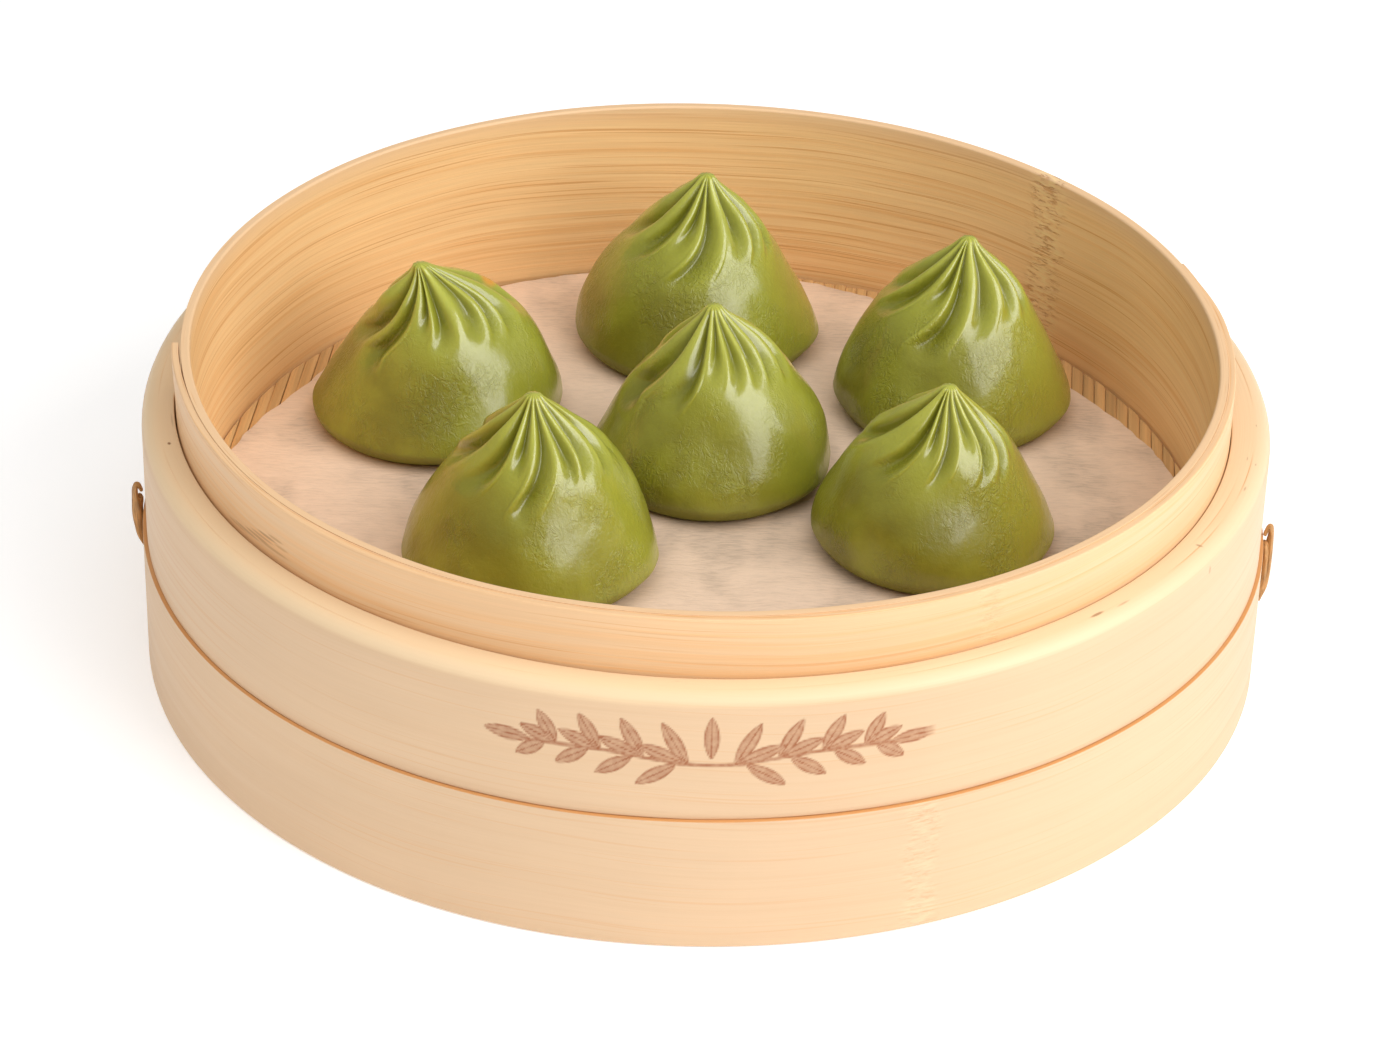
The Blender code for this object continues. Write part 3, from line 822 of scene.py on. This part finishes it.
class STEAMER_OT_outer_hoops(bpy.types.Operator):
    """Makes the two outer hoops, the upper one with its plies showing and a burnt sprig in front"""

    bl_idname = "steamer.outer_hoops"
    bl_label = "Outer Hoops"

    def execute(self, context):
        look = context.scene.steamer_basket
        material = bamboo("bamboo_outside", look, look.outside, look.outside_grain, 0.26,
                          skin=look.skin, burn=True, specks=TOP_SPECKS + SIDE_SPECKS)
        self.upper(look, material)
        self.lower(look, material)
        return {"FINISHED"}

    def upper(self, look, material):
        coarse = all_round(look.columns)
        half_front = radians(22)
        dense = FRONT + np.linspace(-half_front, half_front, FRONT_COLUMNS)
        angles = np.sort(np.concatenate([coarse[apart(coarse, FRONT) > half_front + 0.01], dense]))
        outer = UPPER_RADIUS + out_of_round(OUTER_WAVES, angles) + 0.00005 * wander(angles, 31, 3, 8)
        top = HOOP_TOP - 0.0002 + 0.00010 * wander(angles, 32, 2, 10)
        low = SPLIT_LEVEL + 0.00006 + 0.00004 * wander(angles, 33, 2, 30)
        at_right = 1 - blend(apart(angles, radians(-18)), radians(25), radians(75))
        broken = blend(wander(angles, 34, 3, 25), -0.2, 0.9)
        often = blend(wander(angles, 35, 3, 25), -0.5, 0.8)
        bore = upper_bore(angles)
        grooves = (
            (outer - 0.0031 + 0.00010 * wander(angles, 36, 1, 6), 0.00010,
             0.00010 * often, often * (0.35 + 0.45 * at_right)),
            (outer - 0.0046, 0.00010, 0.00006 * broken * at_right, 0.7 * broken * at_right),
        )
        rings = band_section(bore, outer, low, top, (UPPER_ROUND, 0.0003, 0.00010), (66, 5), grooves)
        points, seam = bent(angles, rings)
        # Skin along the rounded edge, and painted light over the whole flat top.
        skin = blend(points[..., 2], HOOP_TOP - 0.85 * UPPER_ROUND, HOOP_TOP - 0.45 * UPPER_ROUND)
        marks = {
            "joint": joint_mark(points, (120, 0.0035)),
            "seam": np.maximum(seam, split_mark(points)),
            "skin": 0.8 * skin,
            "burn": burnt_sprig(points),
        }
        add_piece("upper_hoop_band", points, wound(points), material,
                  "bamboo_outside", ["upper_hoop"], marks=marks)

    def lower(self, look, material):
        angles = all_round(2 * look.columns)
        outer = lower_radius(angles) - 0.00008 + 0.00004 * wander(angles, 41, 3, 8)
        high = SPLIT_LEVEL - 0.00003 + 0.00002 * wander(angles, 43, 2, 30)
        rounds = (0.00012, 0.0003, 0.0003)
        rings = band_section(bore_past_lap(angles), outer, 0.0 * angles, high, rounds, (10, 3))
        points, seam = bent(angles, rings)
        marks = {
            "joint": joint_mark(points, (-68, 0.0042), (150, 0.0042)),
            "seam": np.maximum(seam, split_mark(points)),
        }
        add_piece("lower_hoop_band", points, wound(points), material,
                  "bamboo_outside", ["lower_hoop"], marks=marks)


class STEAMER_OT_floor(bpy.types.Operator):
    """Makes the floor of split bamboo and gives the battens under it their finish"""

    bl_idname = "steamer.floor"
    bl_label = "Floor"

    def execute(self, context):
        look = context.scene.steamer_basket
        material = splint_bamboo(look)
        draw = np.random.default_rng(51)
        splints, tints = [], []
        for number in range(SPLINT_COUNT):
            splints.append(self.splint(number, draw))
            tints.append(np.full(splints[-1][..., 0].size, draw.uniform()))
        slats = [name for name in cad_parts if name.startswith("slat_")]
        add_piece("floor_splints", *merged(splints), material, "bamboo_floor", slats,
                  marks={"tint": np.concatenate(tints)})
        for name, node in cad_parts.items():
            if name.startswith("batten_"):
                node.data.materials.clear()
                node.data.materials.append(material)
        return {"FINISHED"}

    def splint(self, number, draw):
        """One splint: a strip with a crowned top that bends a little."""
        across = (number - (SPLINT_COUNT - 1) / 2) * SPLINT_PITCH
        half = SPLINT_PITCH / 2 - draw.uniform(0.00003, 0.00010)
        top = SPLINT_TOP - draw.uniform(0.0, 0.00025)
        side = np.array((-1.0, -1.0, -0.8, -0.3, 0.3, 0.8, 1.0, 1.0))[None, :]
        crown = np.array((1.0, 0.35, 0.08, 0.0, 0.0, 0.08, 0.35, 1.0))[None, :]
        u = across + side * half
        share = np.linspace(0, 1, SPLINT_ROWS)[:, None]
        start = self.along_to_wall(u, -1) + draw.uniform(0.0, 0.0003)
        stop = self.along_to_wall(u, 1) - draw.uniform(0.0, 0.0003)
        along = start + (stop - start) * share
        free = share * (1 - share) * 4
        u = u + draw.normal(0.0, 0.00010) * np.sin(5 * share + draw.uniform(0, 6)) * free
        z = top - crown * np.where(crown == 1.0, top - SPLINT_BASE, 0.0006) + 0 * along
        return turned(u, along, z, FLOOR_HEADING)

    def along_to_wall(self, across, end):
        """How far along its splint each point lies, just short of the wall it points at."""
        reach = INNER_FACE + 0 * across
        for _ in range(2):
            along = end * np.sqrt(reach**2 - across**2)
            reach = wall_radius(FLOOR_HEADING + np.arctan2(along, across)) - WALL_CLEARANCE
        return end * np.sqrt(reach**2 - across**2)


class STEAMER_OT_liner(bpy.types.Operator):
    """Makes the paper liner, rather square and softly rippled"""

    bl_idname = "steamer.liner"
    bl_label = "Liner"

    def execute(self, context):
        look = context.scene.steamer_liner
        angles = all_round(LINER_COLUMNS)
        edge = LINER_RADIUS + LINER_SQUARENESS * np.cos(4 * angles) + LINER_SHIFT * np.sin(angles)
        off_corner = blend(apart(angles, LINER_CORNER), radians(18), radians(38))
        edge = edge + LINER_CORNER_REACH * (1 - off_corner)
        edge = np.minimum(edge, wall_radius(angles) - 0.0008) + 0.00025 * wander(angles, 61, 40, 160)
        shares = np.linspace(0.02, 1.0, 60)
        turn, share = angles[None, :], shares[:, None]
        x, y = edge * share * np.cos(turn), edge * share * np.sin(turn)
        ripple = look.ripple * (0.6 + 0.4 * lumps(np.stack([x, y * 1.6, 0 * x], axis=-1), 0.012, 62))
        top = np.stack([x, y, LINER_BASE + 0.00022 + ripple], axis=-1)
        under = top[::-1] - np.array((0.0, 0.0, LINER_THICKNESS))
        points = np.concatenate([top, under])
        add_piece("liner_sheet", points, capped(points), liner_paper(look),
                  "liner_paper", ["liner"])
        return {"FINISHED"}


class STEAMER_OT_ties(bpy.types.Operator):
    """Makes the cane ties, two strands twisted over the split between the outer hoops"""

    bl_idname = "steamer.ties"
    bl_label = "Cane Ties"

    def execute(self, context):
        material = cane_skin(context.scene.steamer_basket)
        for number, tie in enumerate(TIES):
            self.tie(tie, material, number)
        return {"FINISHED"}

    def tie(self, tie, material, number):
        low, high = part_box(tie.node)
        rise = high.z - low.z
        strands, runs = zip(*(
            self.strand(tie.angle, low.z, rise, stations, side, number)
            for side, stations in STRANDS
        ))
        add_piece(f"{tie.node}_strands", *merged(strands), material, "cane", [tie.node],
                  marks={"flow": np.concatenate([run.reshape(-1, 3) for run in runs])})

    def strand(self, angle, low, rise, stations, side, number):
        """One flat strand, drawn softly through its stations."""
        at = np.linspace(0, len(stations) - 1, STRAND_ROWS)
        known = np.arange(len(stations))
        soft = np.array([np.interp(at, known, column) for column in zip(*stations)])
        for _ in range(6):
            soft[:, 1:-1] = (soft[:, :-2] + soft[:, 1:-1] + soft[:, 2:]) / 3
        out, up, thick = soft
        height = low + rise * up
        run_out, run_up = np.gradient(out), np.gradient(height)
        length = np.hypot(run_out, run_up)
        across = np.stack([run_up, -run_out]) / length
        around = np.linspace(0, FULL_TURN, 15)[None, :-1]
        share = np.linspace(0, 1, STRAND_ROWS)[:, None]
        twist = 0.13 * np.cos(3 * around + 7 * share + 2 * number)
        uneven = 1 + twist + 0.06 * np.sin(23 * share + number)
        reach = STRAND_RADIUS * thick[:, None] * uneven
        radial = lower_radius(angle) + 0.0002 + out[:, None] + across[0][:, None] * reach * np.cos(around)
        along = side * np.sin(pi * share) + 1.6 * reach * np.sin(around)
        z = height[:, None] + across[1][:, None] * reach * np.cos(around)
        run = np.stack([3 * np.cos(around) + 0 * share, 3 * np.sin(around) + 0 * share,
                        6 * share + 0 * around], axis=-1)
        return turned(radial, along, z, angle), run


def side_share(levels):
    """The share of the radius at each level: a smooth curve through SIDE_STATIONS."""
    at, share = (np.array(column) for column in zip(*SIDE_STATIONS))
    station = np.arange(len(at))
    before, after = np.maximum(station - 1, 0), np.minimum(station + 1, len(at) - 1)
    slope = (share[after] - share[before]) / (at[after] - at[before])
    i = np.clip(np.searchsorted(at, levels, side="right") - 1, 0, len(at) - 2)
    span = at[i + 1] - at[i]
    s = (levels - at[i]) / span
    return (
        share[i] * (1 + 2 * s) * (1 - s) ** 2
        + share[i + 1] * s * s * (3 - 2 * s)
        + slope[i] * span * s * (1 - s) ** 2
        - slope[i + 1] * span * s * s * (1 - s)
    )


class STEAMER_OT_dumplings(bpy.types.Operator):
    """Makes the six dumplings, each drawn up in swirled pleats to a blunt tip"""

    bl_idname = "steamer.dumplings"
    bl_label = "Dumplings"

    ROWS = 130
    COLUMN = radians(1.2)

    def execute(self, context):
        look = context.scene.steamer_dough
        material = wet_dough(look)
        for number, dumpling in enumerate(DUMPLINGS, start=1):
            points, marks = self.dumpling(number, dumpling, look)
            add_piece(f"dumpling_{number}_dough", points, capped(points), material, "dough",
                      [f"dumpling_{number}"], sharp_over=80, marks=marks)
        return {"FINISHED"}

    def columns(self, folds):
        """For each column of points: the pleat it is in and its share of the way across it."""
        starts = np.radians([azimuth for azimuth, _, _ in folds])
        widths = (np.roll(starts, -1) - starts) % FULL_TURN
        pleat, share = [], []
        for i, width in enumerate(widths):
            steps = 2 * max(4, round(width / self.COLUMN / 2))
            pleat += [i] * steps
            share += [step / steps for step in range(steps)]
        return np.array(pleat), np.array(share), starts, widths

    def dumpling(self, number, dumpling, look):
        low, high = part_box(f"dumpling_{number}")
        base = low.z - SOLIDS_GAP
        height = high.z - base
        pleat, share, starts, widths = self.columns(dumpling.folds)
        _, swirl, fade = (np.array(column) for column in zip(*dumpling.folds))
        following = (pleat + 1) % len(starts)
        near = np.where(share < 0.5, pleat, following)

        level = np.linspace(0, 1, self.ROWS)[:, None]
        shoulder = np.minimum(0.5, VALLEY_REACH / widths)[pleat]
        crest = blend(share, 0.0, shoulder) * blend(1 - share, 0.0, shoulder)
        wide = blend(widths[pleat], radians(22), radians(40))
        crest = crest * (1 - 0.30 * wide * np.clip((share - shoulder) / (1 - shoulder), 0, 1))
        risen = blend(level, fade[near], fade[near] + 0.15)
        valley = (1 - crest)[None, :] ** 1.5 * risen
        valley = valley * (1 - 0.6 * blend(level, 0.92, 1.0))
        broad = (widths + np.roll(widths, 1)) / 2
        depth = look.fold_depth * np.minimum(1.0, broad / WIDE_PLEAT) ** 0.7
        depth = depth[near] * (0.75 + 0.35 * blend(level, 0.6, 0.85))
        radius = dumpling.radius * side_share(level) * (1 - depth * valley)
        radius = radius * np.sqrt(1 - np.clip((level - 0.985) / 0.0152, 0, 1) ** 2)

        steepness = np.radians(swirl)[pleat] * (1 - share) + np.radians(swirl)[following] * share
        climbed = np.maximum(level, SWIRL_FROM) - FOLD_LEVEL
        at = starts[pleat] + share * widths[pleat] + steepness * climbed
        at = at + 0.35 * np.minimum(level - SWIRL_FROM, 0.0)
        sway = [np.sin(11 * level + 2.4 * fold + number) for fold in (pleat, pleat + 1)]
        at = at + radians(2.2) * blend(level, 0.4, 0.6) * (sway[0] * (1 - share) + sway[1] * share)
        bow = np.sin(pi * np.clip((level - 0.55) / 0.42, 0, 1)) - 0.68 * blend(level, 0.4, 0.6)
        at = at + radians(9) * bow
        x = dumpling.place[0] + dumpling.tip[0] * level**3 + 4 * dumpling.bulge * level * (1 - level)
        y = dumpling.place[1] + dumpling.tip[1] * level**3
        out = np.stack([np.cos(at), np.sin(at), 0 * at], axis=-1)
        centre = np.stack([x + 0 * at, y + 0 * at, base + height * level + 0 * at], axis=-1)
        points = centre + out * radius[..., None]

        free = blend(level, 0.0, 0.12) * (1 - blend(level, 0.75, 0.95))
        relief = look.relief * lumps(points, 0.010, 70 + number) * free
        relief = relief + look.pucker * lumps(points, 0.0032, 90 + number) * free
        flow = np.stack([np.cos(at), np.sin(at), 0.9 * level + 0 * at], axis=-1)
        veins = lumps(flow * 0.02, 0.0016, 80 + number)
        relief = relief - look.wrinkle * np.exp(-(veins**2) * 6) * free
        for bulge in self.bulges(number, at, level):
            relief = relief + bulge
        off_crest = np.abs(share - shoulder) * widths[pleat] * radius
        rope = np.exp(-((off_crest / ROPE_REACH) ** 2)) * risen
        relief = relief + ROPE_HEIGHT * rope * (1 - blend(level, 0.80, 0.97))
        points = points + out * relief[..., None]
        points[-1, :, 2] = high.z
        # A painted highlight along the crest of each pleat, joined below with the paler tip.
        painted_crest_highlight = 0.32 * crest[None, :] ** 2 * risen
        # Weights the lower left side, away from the key light, for the olive painted shade.
        shaded_side = np.cos((at - FILLING_AND_SHADE_SIDE) / 2) ** 2
        marks = {
            # This mark lays painted shade in the fold valleys and round the foot.
            "fold_and_foot_shade": np.maximum(valley, 0.8 * (1 - blend(level, 0.03, 0.16))),
            "foot": 1 - blend(level, 0.06, 0.20) + 0 * at,
            "paler_tip_and_crest_highlight": np.maximum(blend(level, 0.7, 1.0) * (1 - valley), painted_crest_highlight),
            # Darker olive towards the bottom and on the left side, as painted shade.
            "low": (1 - 0.7 * blend(level, 0.40, 0.75)) * (0.12 + 0.88 * shaded_side),
            "belly": 1 - blend(level, 0.62, 0.8) + 0 * at,
            "orange_spot": self.orange_spot(number, at, points),
        }
        return points, marks

    def bulges(self, number, at, level):
        """The relief of each fold that stands out at the sides of this dumpling."""
        for lobe in LOBES:
            if lobe.number == number:
                bulge = 1 - blend(apart(at, radians(lobe.azimuth)), 0.0, LOBE_WIDTH)
                yield lobe.height * (bulge * (1 - blend(abs(level - lobe.level), 0.0, LOBE_SPAN)))

    def orange_spot(self, number, at, points):
        """1 on this dumpling's orange spots, 0 elsewhere."""
        orange_spot = 0.0 * at
        for mark in ORANGE_SPOTS:
            if mark.number == number:
                row = round(mark.level * (self.ROWS - 1))
                column = np.argmin(apart(at[row], radians(mark.azimuth)))
                reach = np.linalg.norm(points - points[row, column], axis=-1)
                orange_spot = np.maximum(orange_spot, 1 - blend(reach, 0.4 * mark.reach, mark.reach))
        return orange_spot


def lamp(name, direction, distance, size, power, shines=True):
    """A soft light that faces the basket from this direction. Only one that shines is reflected."""
    light = bpy.data.lights.new(name, "AREA")
    light.shape = "RECTANGLE"
    light.size, light.size_y = size
    light.energy = power
    made = show(name, light)
    towards = Vector(direction).normalized()
    made.visible_glossy = shines
    made.location = towards * distance
    made.rotation_mode = "QUATERNION"
    made.rotation_quaternion = towards.to_track_quat("Z", "Y")


class STEAMER_OT_stage(bpy.types.Operator):
    """Makes the pale floor, the soft lights and the camera"""

    bl_idname = "steamer.stage"
    bl_label = "Stage"

    def execute(self, context):
        look = context.scene.steamer_stage
        self.ground()
        self.light(look)
        self.camera(look)
        context.scene.view_settings.view_transform = "Standard"
        return {"FINISHED"}

    def ground(self):
        mat = Finish("stage_floor")
        tone = mat.noise(mat.place(), (6, 6, 6), detail=1.0)
        colour = mat.shade(srgb(248, 248, 248), mat.step(tone, 0.3, 0.7, 0.99, 1.0))
        mat.set(Base_Color=colour, Roughness=0.9, Emission_Color=(1.0, 1.0, 1.0), Emission_Strength=0.28)
        data = bpy.data.meshes.new("stage_floor")
        corners = [(x * GROUND_HALF, y * GROUND_HALF, 0) for x, y in ((-1, -1), (1, -1), (1, 1), (-1, 1))]
        data.from_pydata(corners, [], [(0, 1, 2, 3)])
        data.materials.append(mat.material)
        ground = show("stage_floor", data)
        ground.location.z = -GROUND_DROP

    def light(self, look):
        lamp("key_light", (0.74, -0.42, 0.56), 1.15, (1.15, 0.95), look.key)
        lamp("top_light", (-0.05, -0.25, 0.97), 1.2, (1.5, 1.3), look.top, shines=False)
        lamp("side_light", (-0.75, -0.45, 0.48), 1.6, (1.4, 1.2), look.side, shines=False)
        world = bpy.data.worlds.new("room")
        world.use_nodes = True
        background = world.node_tree.nodes["Background"]
        background.inputs["Color"].default_value = (1.0, 0.99, 0.97, 1.0)
        background.inputs["Strength"].default_value = look.fill
        bpy.context.scene.world = world

    def camera(self, look):
        data = bpy.data.cameras.new("camera")
        data.sensor_width = 36.0
        data.sensor_fit = "HORIZONTAL"
        data.lens = look.lens
        made = show("camera", data)
        aim = Vector((0.0, 0.0, AIM_HEIGHT))
        back = Vector((0.0, -cos(look.elevation), sin(look.elevation)))
        tilt = Matrix.Rotation(pi / 2 - look.elevation, 4, "X")
        made.matrix_world = (
            Matrix.Translation(aim + back * look.distance) @ tilt @ Matrix.Rotation(look.roll, 4, "Z")
        )
        bpy.context.scene.camera = made


OPERATORS = (
    STEAMER_OT_inner_hoop,
    STEAMER_OT_lap,
    STEAMER_OT_outer_hoops,
    STEAMER_OT_floor,
    STEAMER_OT_liner,
    STEAMER_OT_ties,
    STEAMER_OT_dumplings,
    STEAMER_OT_stage,
)
LOOKS = {
    "steamer_basket": BasketLook,
    "steamer_liner": LinerLook,
    "steamer_dough": DoughLook,
    "steamer_stage": StageLook,
}


class STEAMER_PT_panel(bpy.types.Panel):
    """Lists the steamer's pieces and what can be changed on them"""

    bl_idname = "STEAMER_PT_panel"
    bl_label = "Steamer"
    bl_space_type = "VIEW_3D"
    bl_region_type = "UI"
    bl_category = "Steamer"

    def draw(self, context):
        for operator in OPERATORS:
            self.layout.operator(operator.bl_idname)
        for name, group in LOOKS.items():
            box = self.layout.box()
            for setting in group.__annotations__:
                box.prop(getattr(context.scene, name), setting)


CLASSES = (*LOOKS.values(), *OPERATORS, STEAMER_PT_panel)


def register():
    for item in CLASSES:
        bpy.utils.register_class(item)
    for name, group in LOOKS.items():
        setattr(bpy.types.Scene, name, PointerProperty(type=group))


def unregister():
    for name in LOOKS:
        delattr(bpy.types.Scene, name)
    for item in reversed(CLASSES):
        bpy.utils.unregister_class(item)


def main():
    register()
    for operator in OPERATORS:
        family, action = operator.bl_idname.split(".")
        getattr(getattr(bpy.ops, family), action)()


if __name__ == "__main__":
    main()
